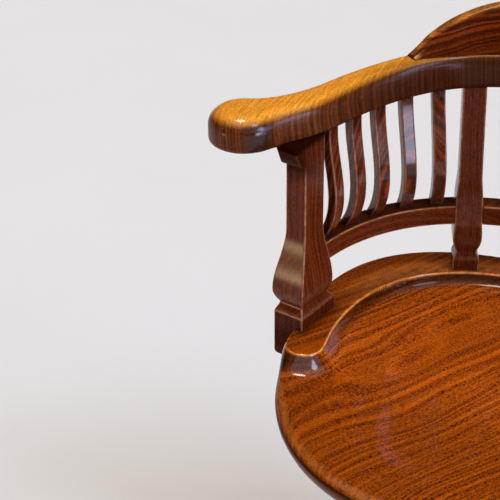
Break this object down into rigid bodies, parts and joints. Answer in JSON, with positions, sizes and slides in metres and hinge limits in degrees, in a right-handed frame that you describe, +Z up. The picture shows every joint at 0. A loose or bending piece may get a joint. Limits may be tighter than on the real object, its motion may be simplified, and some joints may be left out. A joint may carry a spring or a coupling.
{
  "type": "swivel desk chair",
  "caption": "Oak desk chair with a horseshoe arm bow, slatted back and saddle seat, which swivels, tilts and screws up and down on a leg base with casters.",
  "frame": {"origin": "on the floor under the swivel axis, at the middle of the plan box", "axes": "+Z up, -Y towards the front of the seat, +X to the left hand of the sitter"},
  "size_m": [0.6464, 0.531, 0.7708],
  "materials": {
    "amber_oak": "gloss varnish",
    "seat_oak": "gloss varnish",
    "dark_oak": "gloss varnish",
    "base_oak": "satin varnish",
    "cast_iron": "painted black",
    "steel": "worn",
    "brass": "aged",
    "caster_wood": "dark stained"
  },
  "bodies": {
    "base": {"hub": "base_oak", "hub_sleeve": "cast_iron", "leg_1": "base_oak", "leg_2": "base_oak", "leg_3": "base_oak", "leg_4": "base_oak", "caster_socket_1": "brass", "caster_socket_2": "brass", "caster_socket_3": "brass", "caster_socket_4": "brass"},
    "collar": {"swivel_collar": "steel"},
    "nut": {"handwheel_nut": "cast_iron"},
    "column": {"spindle": "steel", "tilt_cradle": "cast_iron", "tilt_spring_left": "steel", "tilt_spring_right": "steel"},
    "seat": {"arm_left": "amber_oak", "arm_right": "amber_oak", "crest_rail": "amber_oak", "seat_board": "seat_oak", "front_post_left": "dark_oak", "rear_post_left": "dark_oak", "side_rail_left": "dark_oak", "side_slat_left_1": "dark_oak", "side_slat_left_2": "dark_oak", "side_slat_left_3": "dark_oak", "side_slat_left_4": "dark_oak", "side_slat_left_5": "dark_oak", "front_post_right": "dark_oak", "rear_post_right": "dark_oak", "side_rail_right": "dark_oak", "side_slat_right_1": "dark_oak", "side_slat_right_2": "dark_oak", "side_slat_right_3": "dark_oak", "side_slat_right_4": "dark_oak", "side_slat_right_5": "dark_oak", "back_slat_1": "dark_oak", "back_slat_2": "dark_oak", "back_slat_3": "dark_oak", "back_rail": "dark_oak", "seat_iron": "cast_iron", "tilt_pin": "steel"},
    "caster_1": {"caster_horn_1": "brass", "caster_axle_1": "steel"},
    "wheel_1": {"caster_wheel_1": "caster_wood"},
    "caster_2": {"caster_horn_2": "brass", "caster_axle_2": "steel"},
    "wheel_2": {"caster_wheel_2": "caster_wood"},
    "caster_3": {"caster_horn_3": "brass", "caster_axle_3": "steel"},
    "wheel_3": {"caster_wheel_3": "caster_wood"},
    "caster_4": {"caster_horn_4": "brass", "caster_axle_4": "steel"},
    "wheel_4": {"caster_wheel_4": "caster_wood"}
  },
  "joints": [
    {"name": "swivel", "type": "hinge", "parent": "base", "child": "collar", "pos_m": [0, 0, 0.27], "axis": [0, 0, 1], "continuous": true},
    {"name": "nut_turn", "type": "hinge", "parent": "collar", "child": "nut", "pos_m": [0, 0, 0.285], "axis": [0, 0, 1], "range_deg": [-4260, 290]},
    {"name": "height", "type": "slide", "parent": "collar", "child": "column", "axis": [0, 0, 1], "range_m": [-0.005, 0.075]},
    {"name": "tilt", "type": "hinge", "parent": "column", "child": "seat", "pos_m": [0, -0.03, 0.37], "axis": [-1, 0, 0], "range_deg": [0, 12], "stiffness_Nm_per_rad": 250, "springref_deg": -4.58, "deforming": ["tilt_spring_left", "tilt_spring_right"]},
    {"name": "caster_1_swivel", "type": "hinge", "parent": "base", "child": "caster_1", "pos_m": [0.18031, 0.18031, 0.06], "axis": [0, 0, 1], "continuous": true},
    {"name": "wheel_1_roll", "type": "hinge", "parent": "caster_1", "child": "wheel_1", "pos_m": [0.16486, 0.18445, 0.025], "axis": [0.2588, 0.9659, 0], "continuous": true},
    {"name": "caster_2_swivel", "type": "hinge", "parent": "base", "child": "caster_2", "pos_m": [-0.18031, 0.18031, 0.06], "axis": [0, 0, 1], "continuous": true},
    {"name": "wheel_2_roll", "type": "hinge", "parent": "caster_2", "child": "wheel_2", "pos_m": [-0.19625, 0.18171, 0.025], "axis": [0.0872, 0.9962, 0], "continuous": true},
    {"name": "caster_3_swivel", "type": "hinge", "parent": "base", "child": "caster_3", "pos_m": [-0.18031, -0.18031, 0.06], "axis": [0, 0, 1], "continuous": true},
    {"name": "wheel_3_roll", "type": "hinge", "parent": "caster_3", "child": "wheel_3", "pos_m": [-0.18707, -0.16581, 0.025], "axis": [0.9063, 0.4226, 0], "continuous": true},
    {"name": "caster_4_swivel", "type": "hinge", "parent": "base", "child": "caster_4", "pos_m": [0.18031, -0.18031, 0.06], "axis": [0, 0, 1], "continuous": true},
    {"name": "wheel_4_roll", "type": "hinge", "parent": "caster_4", "child": "wheel_4", "pos_m": [0.17231, -0.16646, 0.025], "axis": [0.866, 0.5, 0], "continuous": true}
  ],
  "couplings": [
    {"joint": "nut_turn", "follows": "height", "rad_per_m": -989.48}
  ]
}
